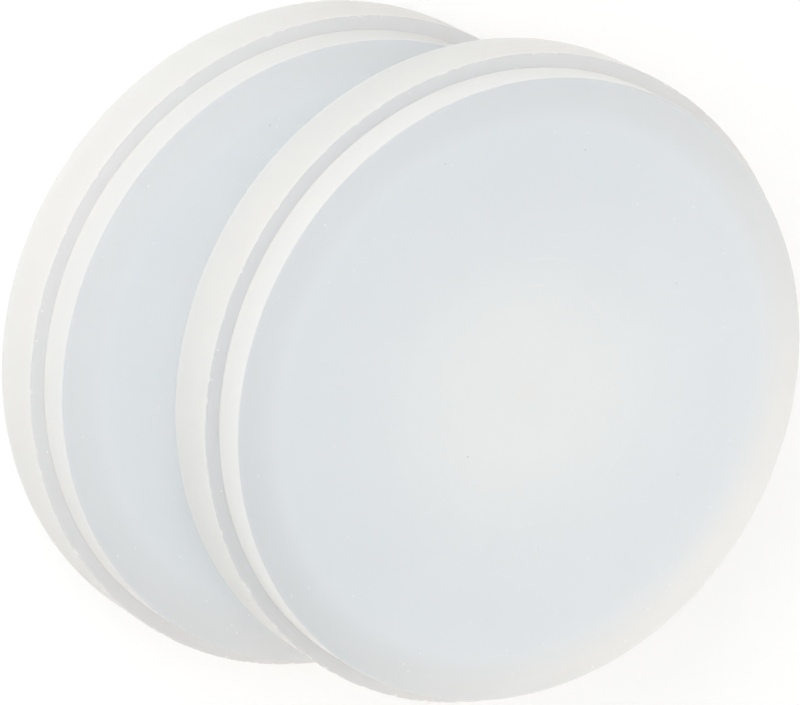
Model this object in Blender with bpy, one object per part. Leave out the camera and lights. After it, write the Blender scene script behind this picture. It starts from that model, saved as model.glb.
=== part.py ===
"""Two round silicone casting moulds, stored rim down, one resting on the other.

Units are metres and +Z is up. The origin is on the table, midway under the pair.
Each mould is one turned silicone shell: a thick ring round the mouth, a narrower
section up to a flat closed base, and a drafted casting cavity that opens downwards.
The upper mould sits on the lower one's base, shifted sideways, and lifts straight off.
"""

import math

import bmesh
import bpy
from mathutils import Matrix

# Driving dimensions of one mould, in metres
MOUTH_DIAMETER = 0.0984
RIM_WIDTH = 0.0058
LEDGE_WIDTH = 0.0025
RING_HEIGHT = 0.0107
BASE_SECTION_HEIGHT = 0.0064
FLOOR_THICKNESS = 0.0030
CAVITY_DRAFT = math.radians(1.5)

# Edge roundings and fillets, in metres
BASE_EDGE_RADIUS = 0.0004
LEDGE_ROOT_RADIUS = 0.0003
RING_EDGE_RADIUS = 0.0003
MOUTH_OUTER_RADIUS = 0.0003
MOUTH_INNER_RADIUS = 0.0005
CAVITY_FLOOR_RADIUS = 0.0015

# Gate mark: a shallow dimple where the silicone was injected, in metres
GATE_DIAMETER = 0.0050
GATE_DEPTH = 0.0002
GATE_SLOPE = 0.0008

# How the pair is stored, in metres
STACK_OFFSET = 0.0228
REST_GAP = 0.0003

# Facets: steps round the turned shape and along each rounding
TURN_STEPS = 96
ROUNDING_STEPS = 3
CAVITY_FLOOR_STEPS = 5

# Finish of the milky silicone
SILICONE_COLOUR = (0.80, 0.82, 0.83, 1.0)
SILICONE_ROUGHNESS = 0.42

# Sizes that follow from those above
RING_RADIUS = MOUTH_DIAMETER / 2 + RIM_WIDTH
BASE_RADIUS = RING_RADIUS - LEDGE_WIDTH
MOULD_HEIGHT = RING_HEIGHT + BASE_SECTION_HEIGHT


def clear_scene():
    """Remove whatever the open file holds."""
    for old in list(bpy.data.objects):
        bpy.data.objects.remove(old, do_unlink=True)


def silicone(name):
    """A milky, satin silicone rubber."""
    material = bpy.data.materials.new(name)
    material.use_nodes = True
    shader = material.node_tree.nodes["Principled BSDF"]
    shader.inputs["Base Color"].default_value = SILICONE_COLOUR
    shader.inputs["Roughness"].default_value = SILICONE_ROUGHNESS
    shader.inputs["Metallic"].default_value = 0.0
    return material


def rounding(centre, radius, start, end, steps=ROUNDING_STEPS):
    """Points (r, z) along an arc, with its angles in radians."""
    points = []
    for step in range(steps + 1):
        angle = start + (end - start) * step / steps
        r = centre[0] + radius * math.cos(angle)
        z = centre[1] + radius * math.sin(angle)
        points.append((r, z))
    return points


def outside_profile():
    """From the middle of the base, out and down to the foot of the ring."""
    ring = RING_RADIUS
    base = BASE_RADIUS
    gate = GATE_DIAMETER / 2
    top = MOULD_HEIGHT
    ledge = RING_HEIGHT
    east, north, west, south = 0.0, math.pi / 2, math.pi, 1.5 * math.pi
    edge = BASE_EDGE_RADIUS
    root = LEDGE_ROOT_RADIUS
    corner = RING_EDGE_RADIUS
    foot = MOUTH_OUTER_RADIUS
    points = [(0.0, top - GATE_DEPTH), (gate - GATE_SLOPE, top - GATE_DEPTH), (gate, top)]
    points += rounding((base - edge, top - edge), edge, north, east)
    points += rounding((base + root, ledge + root), root, west, south)
    points += rounding((ring - corner, ledge - corner), corner, north, east)
    points += rounding((ring - foot, foot), foot, east, -north)
    return points


def wall_radius(height):
    """Radius of the drafted cavity wall at a height above the mouth."""
    return MOUTH_DIAMETER / 2 - height * math.tan(CAVITY_DRAFT)


def cavity_profile():
    """From the mouth, up the drafted wall and in to the middle of the cavity floor."""
    lip = MOUTH_INNER_RADIUS
    fillet = CAVITY_FLOOR_RADIUS
    floor = MOULD_HEIGHT - FLOOR_THICKNESS
    lip_centre = (wall_radius(lip) + lip / math.cos(CAVITY_DRAFT), lip)
    fillet_height = floor - fillet
    fillet_centre = (wall_radius(fillet_height) - fillet / math.cos(CAVITY_DRAFT), fillet_height)
    points = rounding(lip_centre, lip, 1.5 * math.pi, math.pi + CAVITY_DRAFT)
    points += rounding(fillet_centre, fillet, CAVITY_DRAFT, math.pi / 2, CAVITY_FLOOR_STEPS)
    points.append((0.0, floor))
    return points


def turned_shell(name, profile):
    """Spin a profile that starts and ends on the axis into one closed shell."""
    shape = bmesh.new()
    corners = [shape.verts.new((r, 0.0, z)) for r, z in profile]
    outline = [shape.edges.new(pair) for pair in zip(corners, corners[1:])]
    bmesh.ops.spin(
        shape,
        geom=corners + outline,
        cent=(0.0, 0.0, 0.0),
        axis=(0.0, 0.0, 1.0),
        angle=2 * math.pi,
        steps=TURN_STEPS,
        use_merge=True,
    )
    bmesh.ops.remove_doubles(shape, verts=shape.verts, dist=1e-6)
    bmesh.ops.recalc_face_normals(shape, faces=shape.faces)
    mesh = bpy.data.meshes.new(name)
    shape.to_mesh(mesh)
    shape.free()
    mesh.shade_smooth()
    mesh.set_sharp_from_angle(angle=math.radians(50))
    return mesh


def place_mould(name, x, z, holder):
    """One mould with its mouth at height z, standing over x."""
    mesh = turned_shell(name, outside_profile() + cavity_profile())
    mesh.materials.append(silicone(name + "_silicone"))
    mould = bpy.data.objects.new(name, mesh)
    mould.parent = holder
    mould.matrix_parent_inverse = Matrix.Identity(4)
    mould.location = (x, 0.0, z)
    bpy.context.scene.collection.objects.link(mould)
    return mould


def main():
    clear_scene()
    pair = bpy.data.objects.new("mould_pair", None)
    bpy.context.scene.collection.objects.link(pair)
    place_mould("lower_mould", -STACK_OFFSET / 2, 0.0, pair)
    place_mould("upper_mould", STACK_OFFSET / 2, MOULD_HEIGHT + REST_GAP, pair)


main()
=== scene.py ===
# %% [markdown]
# # A stored pair of round silicone casting moulds
# Two identical moulds lie mouth down, one shifted on top of the other. Each is a single piece of
# milky silicone rubber: a thick ring round the mouth, a narrow ledge, a second straight wall
# and a flat base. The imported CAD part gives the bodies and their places. This script makes the finer
# surface, the silicone itself and a plain studio, and it never moves or resizes the part.

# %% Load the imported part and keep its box
import math

import bmesh
import bpy
from mathutils import Matrix, Vector, noise


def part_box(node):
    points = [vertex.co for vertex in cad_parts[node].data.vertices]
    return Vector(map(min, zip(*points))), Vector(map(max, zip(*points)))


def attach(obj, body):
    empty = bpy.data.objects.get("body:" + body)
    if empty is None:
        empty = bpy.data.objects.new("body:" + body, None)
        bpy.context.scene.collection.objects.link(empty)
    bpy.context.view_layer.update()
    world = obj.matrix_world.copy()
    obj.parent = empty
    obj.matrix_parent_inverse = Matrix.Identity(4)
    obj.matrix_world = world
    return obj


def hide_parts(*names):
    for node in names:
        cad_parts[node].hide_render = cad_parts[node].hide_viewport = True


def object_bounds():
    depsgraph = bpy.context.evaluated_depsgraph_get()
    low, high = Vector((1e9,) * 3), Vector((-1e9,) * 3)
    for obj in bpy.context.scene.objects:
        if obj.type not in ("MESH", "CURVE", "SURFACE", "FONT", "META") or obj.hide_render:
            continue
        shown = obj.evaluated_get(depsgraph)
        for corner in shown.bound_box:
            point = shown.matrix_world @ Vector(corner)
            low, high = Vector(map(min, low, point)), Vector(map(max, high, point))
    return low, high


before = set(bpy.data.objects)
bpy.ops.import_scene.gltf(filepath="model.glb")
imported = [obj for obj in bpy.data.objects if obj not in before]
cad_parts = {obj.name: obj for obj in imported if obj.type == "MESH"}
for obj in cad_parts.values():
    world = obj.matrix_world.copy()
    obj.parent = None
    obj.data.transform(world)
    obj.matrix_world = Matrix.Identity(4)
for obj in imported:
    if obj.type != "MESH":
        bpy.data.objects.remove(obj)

cad_box = [list(corner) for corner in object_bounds()]
print("CAD box, metres:", cad_box)

# %% [markdown]
# ## The camera
# The photo looks down on the moulds from well above the table, with the picture turned so that
# their near side is at the upper left. Ellipses fitted to the edges give the angles: 56 degrees of
# height, and a long lens, because the two moulds come out almost the same size. The camera could
# be placed by eye, but angles, a distance and an aim point are easier to read and to change.

# %% Place the camera
CAMERA_AZIMUTH = math.radians(158.63)
CAMERA_HEIGHT = math.radians(56.17)
CAMERA_ROLL = math.radians(119.4)
CAMERA_DISTANCE = 1.0
CAMERA_LENS_MM = 276.5
CAMERA_AIM = Vector((-0.0029, 0.0010, 0.01725))
CAMERA_REACH = 10.0


def direction(azimuth, height):
    """Unit vector towards an azimuth from +X and a height above the table, in radians."""
    level = math.cos(height)
    return Vector((level * math.cos(azimuth), level * math.sin(azimuth), math.sin(height)))


camera = bpy.data.objects.new("camera", bpy.data.cameras.new("camera"))
bpy.context.scene.collection.objects.link(camera)
to_camera = direction(CAMERA_AZIMUTH, CAMERA_HEIGHT)
facing = (-to_camera).to_track_quat("-Z", "Y").to_matrix().to_4x4()
camera.matrix_world = (
    Matrix.Translation(CAMERA_AIM + CAMERA_DISTANCE * to_camera)
    @ facing
    @ Matrix.Rotation(CAMERA_ROLL, 4, "Z")
)
camera.data.lens = CAMERA_LENS_MM
camera.data.clip_end = CAMERA_REACH
bpy.context.scene.camera = camera
print("camera at", [round(value, 3) for value in camera.matrix_world.translation])

# %% [markdown]
# ## The light of the dome
# The photo has a bright, nearly shadowless product light. A pale dome all round gives every surface
# most of its brightness, as a light tent does. What the camera, the gloss and the silicone see
# behind the moulds is plain white, so the dome has two sides: one that lights and one that is looked at.

# %% Light the dome
DOME_COLOUR = (0.965, 0.985, 1.0)
DOME_STRENGTH = 0.785
BACKDROP_COLOUR = (1.0, 1.0, 1.0)
BACKDROP_STRENGTH = 1.0


def add_node(tree, kind, **settings):
    """Add a shader node and set its plain properties."""
    node = tree.nodes.new(kind)
    for name, value in settings.items():
        setattr(node, name, value)
    return node


def seen_directly(tree):
    """A socket that is 1 for camera, glossy and transmission rays and 0 for the rest."""
    path = add_node(tree, "ShaderNodeLightPath")
    shine = add_node(tree, "ShaderNodeMath", operation="MAXIMUM")
    tree.links.new(path.outputs["Is Camera Ray"], shine.inputs[0])
    tree.links.new(path.outputs["Is Glossy Ray"], shine.inputs[1])
    either = add_node(tree, "ShaderNodeMath", operation="MAXIMUM")
    tree.links.new(shine.outputs[0], either.inputs[0])
    tree.links.new(path.outputs["Is Transmission Ray"], either.inputs[1])
    return either.outputs[0]


world = bpy.data.worlds.new("white_studio")
bpy.context.scene.world = world
world.use_nodes = True
sky = world.node_tree
sky.nodes.clear()
dome = add_node(sky, "ShaderNodeBackground")
dome.inputs["Color"].default_value = (*DOME_COLOUR, 1.0)
dome.inputs["Strength"].default_value = DOME_STRENGTH
white = add_node(sky, "ShaderNodeBackground")
white.inputs["Color"].default_value = (*BACKDROP_COLOUR, 1.0)
white.inputs["Strength"].default_value = BACKDROP_STRENGTH
choice = add_node(sky, "ShaderNodeMixShader")
sky.links.new(seen_directly(sky), choice.inputs["Fac"])
sky.links.new(dome.outputs[0], choice.inputs[1])
sky.links.new(white.outputs[0], choice.inputs[2])
horizon = add_node(sky, "ShaderNodeOutputWorld")
sky.links.new(choice.outputs[0], horizon.inputs["Surface"])

print("dome of strength", DOME_STRENGTH)

# %% [markdown]
# ## Two soft lamps
# A wide lamp low on the camera's side makes the upright walls brighter than the flat faces. It stands a
# little to one side, because the walls in the photo are palest towards the top. A long, low, warm
# lamp stands behind the moulds. Its light enters the far walls, runs through the silicone and
# comes out of the base near the far edge, which is the warm glow in the photo.

# %% Place the lamps
LAMP_DISTANCE = 1.1
KEY_AZIMUTH = CAMERA_AZIMUTH - math.radians(6)
KEY_HEIGHT = math.radians(27)
KEY_SIZE = (2.8, 0.9)
KEY_POWER = 10.3
KEY_COLOUR = (1.0, 0.985, 0.96)
BACK_AZIMUTH = CAMERA_AZIMUTH + math.radians(172)
BACK_HEIGHT = math.radians(6)
BACK_SIZE = (3.2, 0.24)
BACK_POWER = 14.8
BACK_COLOUR = (1.0, 0.83, 0.64)


def soft_lamp(name, azimuth, height, size, power, colour):
    """A wide soft lamp that faces the moulds."""
    lamp = bpy.data.objects.new(name, bpy.data.lights.new(name, "AREA"))
    bpy.context.scene.collection.objects.link(lamp)
    towards = direction(azimuth, height)
    turned = (-towards).to_track_quat("-Z", "Y").to_matrix().to_4x4()
    lamp.matrix_world = Matrix.Translation(LAMP_DISTANCE * towards) @ turned
    lamp.data.shape = "ELLIPSE"
    lamp.data.size, lamp.data.size_y = size
    lamp.data.energy = power
    lamp.data.color = colour
    print(name, "of", power, "W")


soft_lamp("key_lamp", KEY_AZIMUTH, KEY_HEIGHT, KEY_SIZE, KEY_POWER, KEY_COLOUR)
soft_lamp("back_lamp", BACK_AZIMUTH, BACK_HEIGHT, BACK_SIZE, BACK_POWER, BACK_COLOUR)

# %% [markdown]
# ## The floor
# The moulds lie on white paper. Paper under a light tent comes out pure white, so the paper that the
# camera sees gets a lift of its own, about as much as the lit paper lacks to be white. More than
# that would bleach out the soft shadow beside the moulds.

# %% Lay the floor
FLOOR_SIZE = 6.0
FLOOR_DROP = 0.0002
FLOOR_COLOUR = (0.70, 0.70, 0.70, 1.0)
FLOOR_LIFT = 0.32

paper = bpy.data.materials.new("white_paper")
paper.use_nodes = True
sheet_tree = paper.node_tree
sheet_tree.nodes.clear()
matt = add_node(sheet_tree, "ShaderNodeBsdfDiffuse")
matt.inputs["Color"].default_value = FLOOR_COLOUR
glow = add_node(sheet_tree, "ShaderNodeEmission")
lift = add_node(sheet_tree, "ShaderNodeMath", operation="MULTIPLY")
sheet_tree.links.new(seen_directly(sheet_tree), lift.inputs[0])
lift.inputs[1].default_value = FLOOR_LIFT
sheet_tree.links.new(lift.outputs[0], glow.inputs["Strength"])
both = add_node(sheet_tree, "ShaderNodeAddShader")
sheet_tree.links.new(matt.outputs[0], both.inputs[0])
sheet_tree.links.new(glow.outputs[0], both.inputs[1])
sheet_out = add_node(sheet_tree, "ShaderNodeOutputMaterial")
sheet_tree.links.new(both.outputs[0], sheet_out.inputs["Surface"])

floor_mesh = bpy.data.meshes.new("floor")
reach = FLOOR_SIZE / 2
floor_mesh.from_pydata(
    [(-reach, -reach, 0.0), (reach, -reach, 0.0), (reach, reach, 0.0), (-reach, reach, 0.0)],
    [],
    [(0, 1, 2, 3)],
)
floor_mesh.materials.append(paper)
floor = bpy.data.objects.new("floor", floor_mesh)
floor.location.z = cad_box[0][2] - FLOOR_DROP
bpy.context.scene.collection.objects.link(floor)
bpy.context.scene.view_settings.view_transform = "Standard"
print("floor at", round(floor.location.z, 4), "m")

# %% [markdown]
# ## The mould's outline
# Silicone is pressed between two steel dies, so every section through the mould's axis is the same.
# A lathe profile says all of it: half a section, listed from the middle of the base, out over the
# two steps, round the rim and up into the cavity. Corners are short arcs, and long flat stretches get
# extra points so that they can carry small unevenness later.

# %% Draw the profile
LEDGE_WIDTH = 0.0025
RING_HEIGHT = 0.0107
MOUTH_RADIUS = 0.0492
FLOOR_THICKNESS = 0.0030
CAVITY_DRAFT = math.radians(1.5)
BASE_EDGE = 0.0004
LEDGE_ROOT = 0.0003
RING_EDGE = 0.0003
RIM_EDGE = 0.0003
CAVITY_FILLET = 0.0015
ARC_STEPS = 5
EDGE_ROWS = (0.0001, 0.0008)
BASE_ROWS = 64
WALL_ROWS = 2

low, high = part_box("upper_mould")
RING_RADIUS = (high.x - low.x) / 2
MOULD_HEIGHT = high.z - low.z
BASE_RADIUS = RING_RADIUS - LEDGE_WIDTH


def arc(centre, radius, start, end, steps=ARC_STEPS):
    """Points (r, z) along an arc, with angles in degrees."""
    turns = [math.radians(start + (end - start) * step / steps) for step in range(steps + 1)]
    r, z = centre
    return [(r + radius * math.cos(turn), z + radius * math.sin(turn)) for turn in turns]


def between(start, end, rows):
    """Points inside a straight stretch: some close to each end, and even steps between."""
    length = math.dist(start, end)
    near = [row / length for row in EDGE_ROWS]
    shares = near + [row / rows for row in range(1, rows)] + [1 - share for share in near]
    sides = list(zip(start, end))
    return [tuple(here + (there - here) * share for here, there in sides) for share in sorted(shares)]


def mould_profile():
    """Half a section of the mould, from the middle of the base to the middle of the cavity."""
    top, ledge, draft = MOULD_HEIGHT, RING_HEIGHT, math.degrees(CAVITY_DRAFT)
    lean = math.tan(CAVITY_DRAFT)
    side = 1 / math.cos(CAVITY_DRAFT)
    cavity_floor = top - FLOOR_THICKNESS
    bend = cavity_floor - CAVITY_FILLET
    lip = (MOUTH_RADIUS - RIM_EDGE * lean + RIM_EDGE * side, RIM_EDGE)
    fillet = (MOUTH_RADIUS - bend * lean - CAVITY_FILLET * side, bend)
    runs = [
        [(0.0, top)],
        arc((BASE_RADIUS - BASE_EDGE, top - BASE_EDGE), BASE_EDGE, 90, 0),
        arc((BASE_RADIUS + LEDGE_ROOT, ledge + LEDGE_ROOT), LEDGE_ROOT, 180, 270),
        arc((RING_RADIUS - RING_EDGE, ledge - RING_EDGE), RING_EDGE, 90, 0),
        arc((RING_RADIUS - RIM_EDGE, RIM_EDGE), RIM_EDGE, 0, -90),
        arc(lip, RIM_EDGE, 270, 180 + draft),
        arc(fillet, CAVITY_FILLET, draft, 90),
        [(0.0, cavity_floor)],
    ]
    rows = [BASE_ROWS, WALL_ROWS, WALL_ROWS, WALL_ROWS, WALL_ROWS, WALL_ROWS, WALL_ROWS]
    points = list(runs[0])
    for count, before, after in zip(rows, runs, runs[1:]):
        points += between(before[-1], after[0], count) + after
    return points


profile = mould_profile()
print("profile of", len(profile), "points; ring", round(RING_RADIUS * 2000, 1), "mm across")

# %% [markdown]
# ## Small faults of the moulding
# The two dies meet at the ring's upper corner. A thin skin of silicone squeezes out there and is trimmed
# by hand, which leaves a slightly ragged edge with small nicks. The base also keeps faint,
# broken flow rings round the point where the silicone entered, and a shallow gate mark. These are
# real relief, so every point is moved with smooth noise, where a bump would only fake the shading.

# %% Move a point by its faults
TRIM_SPREAD = 3 * RING_EDGE
TRIM_WOBBLE = 0.00006
WOBBLES_ROUND = 20.0
RISES_ROUND = 35.0
NICKS_ROUND = 46.0
NICK_LEAST = 0.25
NICK_DEPTH = 0.0006
FLOW_RADII = (0.0180, 0.0220, 0.0255)
FLOW_HEIGHT = 0.00003
FLOW_WIDTH = 0.0006
FLOW_WANDER = 0.10
FLOW_BENDS = 1.3
FLOW_BREAKS = 2.0
FLOW_KEPT = 0.3
FLOW_BREAK_SEED = 5
GATE_RADIUS = 0.0024
GATE_DEPTH = 0.0001
BASE_WAVE = 0.00006
WAVE_CELLS = 45
RELIEF_FADE = 0.004
SAME_HEIGHT = 1e-7


def round_noise(angle, detail, seed):
    """Smooth noise that closes on itself after a full turn, from about -1 to 1."""
    place = Vector((math.cos(angle) * detail, math.sin(angle) * detail, seed))
    return noise.noise(place)


def trim_line(r, z):
    """How much a profile point belongs to the trimmed corner, from 0 to 1."""
    away = math.hypot(r - RING_RADIUS, z - RING_HEIGHT)
    return max(0.0, 1.0 - away / TRIM_SPREAD)


def base_relief(r, angle, seed):
    """Height of flow rings, gate mark and slow waves on the flat base."""
    place = Vector((r * math.cos(angle), r * math.sin(angle), seed))
    rise = BASE_WAVE * noise.noise(place * WAVE_CELLS)
    for count, radius in enumerate(FLOW_RADII):
        wander = radius * (1 + FLOW_WANDER * round_noise(angle, FLOW_BENDS, seed + count))
        broken = round_noise(angle, FLOW_BREAKS, seed + FLOW_BREAK_SEED + count)
        there = max(0.0, FLOW_KEPT + broken)
        rise += FLOW_HEIGHT * there * math.exp(-(((r - wander) / FLOW_WIDTH) ** 2))
    return rise - GATE_DEPTH * math.exp(-((r / GATE_RADIUS) ** 4))


def mould_point(r, z, angle, seed):
    """One point of the turned mould with its small faults."""
    trim = trim_line(r, z)
    if trim > 0:
        nick = max(0.0, round_noise(angle, NICKS_ROUND, seed) - NICK_LEAST)
        r += trim * (TRIM_WOBBLE * round_noise(angle, WOBBLES_ROUND, seed + 1) - NICK_DEPTH * nick)
        z += trim * TRIM_WOBBLE * round_noise(angle, RISES_ROUND, seed + 2)
    if z > MOULD_HEIGHT - SAME_HEIGHT:
        edge_fade = min(1.0, (BASE_RADIUS - BASE_EDGE - r) / RELIEF_FADE)
        z += edge_fade * base_relief(r, angle, seed)
    return Vector((r * math.cos(angle), r * math.sin(angle), z))


print("flow rings at", [round(radius * 1000, 1) for radius in FLOW_RADII], "mm from the gate")

# %% [markdown]
# ## Turning the mould
# A Screw modifier could turn the profile, but here each point has faults of its own. So the rows of
# points are made one by one round the axis and joined by faces, and one point at each end, on the
# axis, closes the shell.

# %% Turn the profile
TURN_STEPS = 720


def turned_mould(name, seed):
    """A closed mesh of the mould, with its mouth's centre at the origin."""
    shape = bmesh.new()
    ends = [shape.verts.new(mould_point(0.0, profile[end][1], 0.0, seed)) for end in (0, -1)]
    rings = []
    for step in range(TURN_STEPS):
        angle = 2 * math.pi * step / TURN_STEPS
        rings.append([shape.verts.new(mould_point(r, z, angle, seed)) for r, z in profile[1:-1]])
    for here, there in zip(rings, rings[1:] + rings[:1]):
        shape.faces.new((ends[0], here[0], there[0]))
        for row in range(len(here) - 1):
            shape.faces.new((here[row], here[row + 1], there[row + 1], there[row]))
        shape.faces.new((here[-1], ends[1], there[-1]))
    bmesh.ops.recalc_face_normals(shape, faces=shape.faces)
    mesh = bpy.data.meshes.new(name)
    shape.to_mesh(mesh)
    shape.free()
    mesh.shade_smooth()
    return mesh


print(TURN_STEPS, "steps round the axis")

# %% [markdown]
# ## Where on the mould
# The silicone looks different from place to place: cream where it is thick, cool where it is thin.
# Those places are easy to name on a turned shape, because two numbers are enough: the distance
# from the axis and the height above the mouth. Reading them in the mould's own coordinates
# keeps the finish on the mould when it is lifted or seen from behind.

# %% Read the place
def place_on_mould(tree):
    """Sockets for the place, the distance from the axis and the height above the mouth."""
    where = add_node(tree, "ShaderNodeTexCoord")
    split = add_node(tree, "ShaderNodeSeparateXYZ")
    tree.links.new(where.outputs["Object"], split.inputs[0])
    flat = add_node(tree, "ShaderNodeCombineXYZ")
    tree.links.new(split.outputs["X"], flat.inputs["X"])
    tree.links.new(split.outputs["Y"], flat.inputs["Y"])
    across = add_node(tree, "ShaderNodeVectorMath", operation="LENGTH")
    tree.links.new(flat.outputs[0], across.inputs[0])
    return where.outputs["Object"], across.outputs["Value"], split.outputs["Z"]


def math_node(tree, operation, *values):
    """The outcome of a sum, product or the like of sockets and numbers."""
    node = add_node(tree, "ShaderNodeMath", operation=operation)
    for slot, value in zip(node.inputs, values):
        if isinstance(value, float):
            slot.default_value = value
        else:
            tree.links.new(value, slot)
    return node.outputs[0]


def fade(tree, value, start, end):
    """A socket that goes smoothly from 0 to 1 while a value goes from start to end."""
    ramp = add_node(tree, "ShaderNodeMapRange", interpolation_type="SMOOTHSTEP")
    ramp.inputs["From Min"].default_value = start
    ramp.inputs["From Max"].default_value = end
    tree.links.new(value, ramp.inputs["Value"])
    return ramp.outputs["Result"]


def blend(tree, share, under, over):
    """One colour laid over another by a share; either can be a socket or a plain colour."""
    mix = add_node(tree, "ShaderNodeMix", data_type="RGBA")
    tree.links.new(share, mix.inputs["Factor"])
    for name, colour in (("A", under), ("B", over)):
        if isinstance(colour, tuple):
            mix.inputs[name].default_value = (*colour, 1.0)
        else:
            tree.links.new(colour, mix.inputs[name])
    return mix.outputs["Result"]


def clouds(tree, place, scale, detail=2.0):
    """Soft noise, with about so many features in a metre."""
    node = add_node(tree, "ShaderNodeTexNoise")
    node.inputs["Scale"].default_value = scale
    node.inputs["Detail"].default_value = detail
    tree.links.new(place, node.inputs["Vector"])
    return node.outputs["Fac"]


print("base", round(BASE_RADIUS * 2000, 1), "mm across, mould", round(MOULD_HEIGHT * 1000, 1), "mm high")

# %% [markdown]
# ## The walls and the ledge
# Thick silicone scatters warm light back and looks like cream. The very foot of the ring, next to the
# mouth, is painted palest, as painted light, because light reaches it from three sides. The ledge faces
# up like the base and lies under the step, so it is painted a darker cool grey, as painted shade, with a
# sharp border.

# %% Colour the walls and the ledge
WALL_CREAM = (0.978, 0.972, 0.940)
WALL_WARM = (0.995, 0.962, 0.930)
# Painted light: the foot of the ring is painted paler, for the light that reaches it from three sides.
FOOT_PAINTED_LIGHT = (0.99, 0.985, 0.965)
FOOT_HEIGHT = 0.0019
FOOT_BLUR = 0.0004
STRIP_CREAM = (0.94, 0.93, 0.91)
STRIP_BLUR = 0.0004
# Painted shade: the ledge under the step is painted a darker cool grey.
LEDGE_SHADE_GREY = (0.455, 0.475, 0.535)
LEDGE_UNDER = (0.0002, 0.00005)
LEDGE_OVER = (0.00015, 0.00005)
LEDGE_INSIDE = (0.0005, 0.0002)
CLOUD_CELLS = 32.0
CLOUD_DETAIL = 3.0
CLOUD_LIMITS = (0.35, 0.65)


def wall_colour(tree, place, across, height):
    """Cream walls with painted light at the foot and painted shade on the grey ledge."""
    uneven = fade(tree, clouds(tree, place, CLOUD_CELLS, CLOUD_DETAIL), *CLOUD_LIMITS)
    colour = blend(tree, uneven, WALL_CREAM, WALL_WARM)
    # Painted light at the foot of the ring.
    lit_foot = fade(tree, height, FOOT_HEIGHT + FOOT_BLUR, FOOT_HEIGHT - FOOT_BLUR)
    colour = blend(tree, lit_foot, colour, FOOT_PAINTED_LIGHT)
    strip = fade(tree, height, RING_HEIGHT, RING_HEIGHT + STRIP_BLUR)
    colour = blend(tree, strip, colour, STRIP_CREAM)
    # Painted shade on the ledge, with a sharp border.
    above = fade(tree, height, RING_HEIGHT - LEDGE_UNDER[0], RING_HEIGHT - LEDGE_UNDER[1])
    below = fade(tree, height, RING_HEIGHT + LEDGE_OVER[0], RING_HEIGHT + LEDGE_OVER[1])
    outside = fade(tree, across, BASE_RADIUS - LEDGE_INSIDE[0], BASE_RADIUS - LEDGE_INSIDE[1])
    ledge = math_node(tree, "MULTIPLY", math_node(tree, "MULTIPLY", above, below), outside)
    return blend(tree, ledge, colour, LEDGE_SHADE_GREY)


print("ledge", round(LEDGE_WIDTH * 1000, 1), "mm wide, at", round(RING_HEIGHT * 1000, 1), "mm")

# %% [markdown]
# ## The trimmed edge
# Where the skin between the dies was cut off, the ring's corner is torn in places. Torn silicone is full
# of tiny facets that catch the light, so short flecks of painted highlight follow the corner, over the
# nicks.

# %% Paint highlights on the trimmed edge
# Painted highlight: white flecks where the torn facets catch the light.
TRIM_HIGHLIGHT = (0.99, 0.99, 0.985)
TRIM_FLECKS = 420.0
GLINT_DETAIL = 3.0
GLINT_LIMITS = (0.59, 0.69)
TRIM_REACH = 0.00035


def trim_highlights(tree, place, across, height):
    """A mask of short flecks of painted highlight along the ring's upper corner."""
    rise = math_node(tree, "ABSOLUTE", math_node(tree, "SUBTRACT", height, RING_HEIGHT))
    inward = math_node(tree, "ABSOLUTE", math_node(tree, "SUBTRACT", across, RING_RADIUS))
    near = fade(tree, math_node(tree, "MAXIMUM", rise, inward), TRIM_REACH, TRIM_REACH / 2)
    # Flecks of painted highlight along the corner.
    glints = fade(tree, clouds(tree, place, TRIM_FLECKS, GLINT_DETAIL), *GLINT_LIMITS)
    return math_node(tree, "MULTIPLY", near, glints)


print("white flecks within", round(TRIM_REACH * 1000, 2), "mm of the ring's corner")

# %% [markdown]
# ## The base
# The floor of the mould is only 3 mm thick, so the base shows the cool light of the empty cavity.
# Towards the edge it is painted cooler and darker, as painted shade from the walls. Round the gate it is
# painted whiter in a soft glow of painted light, with a few thin broken flow lines. Rings of noise do
# this better than a gradient alone, which would look drawn.
# The edge of the base lies over the solid wall, where more light comes up from below, so the
# colour written for it is darker than what is seen there.

# %% Colour the base
# Painted shade: the base is painted cooler and darker towards its edge.
BASE_SHADED_COOL = (0.748, 0.799, 0.846)
BASE_MIDDLE = (0.858, 0.899, 0.938)
# Painted light: a whiter glow painted round the gate.
BASE_PAINTED_GLOW = (0.942, 0.985, 0.99)
GATE_WHITE = (0.985, 0.985, 0.985)
BASE_SHADE = (0.45, 0.52, 0.60)
SHADED_COOL_START = 0.022
SHADE_ZONE = (0.0445, 0.0520)
GLOW_ZONE = (0.0275, 0.0090)
RADIUS_WANDER = 0.012
NOISE_MIDDLE = 0.5
FLOW_LINE = 0.0003
FLOW_SHARES = (0.9, 0.8, 0.12)
FLOW_DRIFT = RADIUS_WANDER / 2
DRIFT_CELLS = 26.0
DRIFT_DETAIL = 1.0
BREAK_CELLS = 42.0
BREAK_LIMITS = (0.5, 0.8)


def flow_lines(tree, place, across):
    """A mask of thin, broken rings round the gate."""
    bend = clouds(tree, place, DRIFT_CELLS, DRIFT_DETAIL)
    wander = math_node(tree, "MULTIPLY_ADD", bend, -FLOW_DRIFT, across)
    lines = []
    for radius, share in zip(FLOW_RADII, FLOW_SHARES):
        middle = radius - FLOW_DRIFT * NOISE_MIDDLE
        away = math_node(tree, "ABSOLUTE", math_node(tree, "SUBTRACT", wander, middle))
        lines.append(math_node(tree, "MULTIPLY", fade(tree, away, FLOW_LINE, FLOW_LINE / 3), share))
    most = math_node(tree, "MAXIMUM", math_node(tree, "MAXIMUM", lines[0], lines[1]), lines[2])
    broken = fade(tree, clouds(tree, place, BREAK_CELLS), *BREAK_LIMITS)
    return math_node(tree, "MULTIPLY", most, broken)


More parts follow.
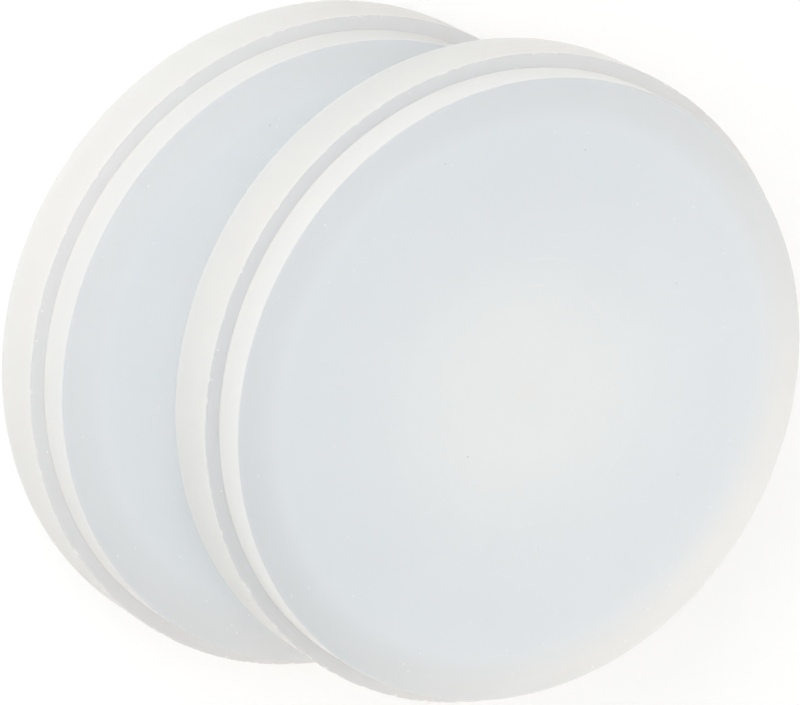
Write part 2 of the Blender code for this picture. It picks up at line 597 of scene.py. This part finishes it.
def base_colour(tree, place, across):
    """Painted shade, cooler and darker towards the edge, a painted glow of light round the gate, flow
    lines and a white gate mark.
    """
    uneven = math_node(tree, "SUBTRACT", clouds(tree, place, CLOUD_CELLS, CLOUD_DETAIL), NOISE_MIDDLE)
    wander = math_node(tree, "MULTIPLY_ADD", uneven, RADIUS_WANDER, across)
    # Painted shade: cooler and darker towards the edge.
    colour = blend(tree, fade(tree, wander, SHADED_COOL_START, BASE_RADIUS), BASE_MIDDLE, BASE_SHADED_COOL)
    colour = blend(tree, fade(tree, across, *SHADE_ZONE), colour, BASE_SHADE)
    # Painted light: a whiter glow round the gate.
    colour = blend(tree, fade(tree, wander, *GLOW_ZONE), colour, BASE_PAINTED_GLOW)
    colour = blend(tree, flow_lines(tree, place, across), colour, GATE_WHITE)
    return blend(tree, fade(tree, across, GATE_RADIUS, GATE_RADIUS / 3), colour, GATE_WHITE)


print("painted_glow out to about", round(GLOW_ZONE[0] * 1000, 1), "mm from the gate")

# %% [markdown]
# ## Specks
# Tiny bubbles near the skin show as white points, and now and then a grain of dust is moulded in.
# Voronoi cells give scattered points: each cell has one, and only some cells are let through.

# %% Scatter specks
BUBBLE_CELLS = 380.0
BUBBLE_SIZE = 0.00020
BUBBLE_SHARE = 0.7
BUBBLE_WHITE = (0.95, 0.955, 0.96)
DUST_CELLS = 185.0
DUST_SIZE = 0.00012
DUST_SHARE = 0.9
DUST_GREY = (0.18, 0.17, 0.16)


def speckle(tree, place, cells, size, share):
    """A mask of small round points, one in some of the cells."""
    scatter = add_node(tree, "ShaderNodeTexVoronoi")
    scatter.inputs["Scale"].default_value = cells
    tree.links.new(place, scatter.inputs["Vector"])
    near = fade(tree, scatter.outputs["Distance"], size * cells, size * cells / 2)
    chosen = add_node(tree, "ShaderNodeSeparateColor")
    tree.links.new(scatter.outputs["Color"], chosen.inputs[0])
    return math_node(tree, "MULTIPLY", near, math_node(tree, "LESS_THAN", chosen.outputs[0], share))


def add_specks(tree, place, colour):
    """White bubbles and dark dust over a colour."""
    bubbles = speckle(tree, place, BUBBLE_CELLS, BUBBLE_SIZE, BUBBLE_SHARE)
    dust = speckle(tree, place, DUST_CELLS, DUST_SIZE, DUST_SHARE)
    return blend(tree, dust, blend(tree, bubbles, colour, BUBBLE_WHITE), DUST_GREY)


print("bubbles", round(BUBBLE_SIZE * 2000, 2), "mm and dust", round(DUST_SIZE * 2000, 2), "mm across")

# %% [markdown]
# ## The skin
# Cured silicone is satin, not glossy, and never quite even: a slow noise in the roughness breaks up its
# sheen. A very fine bump stands for the grain of the steel dies, which is too small to model.

# %% Make the skin satin
ROUGH_LEAST = 0.42
ROUGH_MOST = 0.58
SHEEN_CELLS = 140.0
SHEEN_DETAIL = 4.0
GRAIN_CELLS = 2600.0
GRAIN_HEIGHT = 0.00001


def satin_skin(tree, shader, place):
    """Uneven roughness and a fine grain."""
    satin = add_node(tree, "ShaderNodeMapRange")
    satin.inputs["To Min"].default_value = ROUGH_LEAST
    satin.inputs["To Max"].default_value = ROUGH_MOST
    tree.links.new(clouds(tree, place, SHEEN_CELLS, SHEEN_DETAIL), satin.inputs["Value"])
    tree.links.new(satin.outputs["Result"], shader.inputs["Roughness"])
    grain = add_node(tree, "ShaderNodeBump")
    grain.inputs["Distance"].default_value = GRAIN_HEIGHT
    tree.links.new(clouds(tree, place, GRAIN_CELLS), grain.inputs["Height"])
    tree.links.new(grain.outputs["Normal"], shader.inputs["Normal"])


print("roughness from", ROUGH_LEAST, "to", ROUGH_MOST)

# %% [markdown]
# ## The silicone itself
# Light meets milky silicone in three ways: some scatters just under the skin, some goes straight on,
# softened, and some comes through from behind. A Principled shader with shallow scattering
# and a little rough transmission does the first two, and a Translucent shader mixed in does the third.
# Its share grows towards the edge, because the solid wall carries light that the empty cavity loses.

# %% Mix the silicone
TRANSMISSION = 0.15
THROUGH_MIDDLE = 0.25
THROUGH_EDGE = 0.62
THROUGH_ZONE = (0.0425, 0.0505)
THROUGH_COLOUR = (0.97, 0.97, 0.965, 1.0)
SUBSURFACE = 0.3
SCATTER_RADIUS = (1.0, 0.9, 0.8)
SCATTER_SCALE = 0.0015
SILICONE_IOR = 1.41
FLAT_ZONE = (BASE_EDGE * 0.6, BASE_EDGE * 0.2)


def surface_colour(tree, place, across, height):
    """Walls, base, painted highlights on the trimmed edge and specks, laid over each other."""
    wall = wall_colour(tree, place, across, height)
    flat = fade(tree, height, MOULD_HEIGHT - FLAT_ZONE[0], MOULD_HEIGHT - FLAT_ZONE[1])
    colour = blend(tree, flat, wall, base_colour(tree, place, across))
    colour = blend(tree, trim_highlights(tree, place, across, height), colour, TRIM_HIGHLIGHT)
    return add_specks(tree, place, colour)


def silicone(name):
    """Milky silicone rubber, finished in the mould's own coordinates."""
    material = bpy.data.materials.new(name)
    material.use_nodes = True
    tree = material.node_tree
    shader = tree.nodes["Principled BSDF"]
    shader.inputs["Transmission Weight"].default_value = TRANSMISSION
    shader.inputs["Subsurface Weight"].default_value = SUBSURFACE
    shader.inputs["Subsurface Radius"].default_value = SCATTER_RADIUS
    shader.inputs["Subsurface Scale"].default_value = SCATTER_SCALE
    shader.inputs["IOR"].default_value = SILICONE_IOR
    place, across, height = place_on_mould(tree)
    colour = surface_colour(tree, place, across, height)
    tree.links.new(colour, shader.inputs["Base Color"])
    satin_skin(tree, shader, place)
    through = add_node(tree, "ShaderNodeBsdfTranslucent")
    through.inputs["Color"].default_value = THROUGH_COLOUR
    body = add_node(tree, "ShaderNodeMixShader")
    thick = fade(tree, across, *THROUGH_ZONE)
    share = math_node(tree, "MULTIPLY_ADD", thick, THROUGH_EDGE - THROUGH_MIDDLE, THROUGH_MIDDLE)
    tree.links.new(share, body.inputs["Fac"])
    tree.links.new(shader.outputs[0], body.inputs[1])
    tree.links.new(through.outputs[0], body.inputs[2])
    tree.links.new(body.outputs[0], tree.nodes["Material Output"].inputs["Surface"])
    return material


print("light let through:", THROUGH_MIDDLE, "at the middle,", THROUGH_EDGE, "at the edge")

# %% [markdown]
# ## Setting the two moulds in place
# The CAD nodes hold the right places but only coarse facets, so each is replaced by its finer
# twin. Both moulds came from the same dies, and different noise seeds keep their hand-trimmed
# edges from being copies of each other.

# %% Place the moulds
NOISE_SEEDS = (("lower", 3.0), ("upper", 14.0))

for level, seed in NOISE_SEEDS:
    low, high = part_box(level + "_mould")
    mesh = turned_mould(level + "_shell", seed)
    mesh.materials.append(silicone(level + "_silicone"))
    shell = bpy.data.objects.new(level + "_shell", mesh)
    shell.location = ((low.x + high.x) / 2, (low.y + high.y) / 2, low.z)
    bpy.context.scene.collection.objects.link(shell)
    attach(shell, level)
    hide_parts(level + "_mould")
    print(shell.name, len(mesh.polygons), "faces")
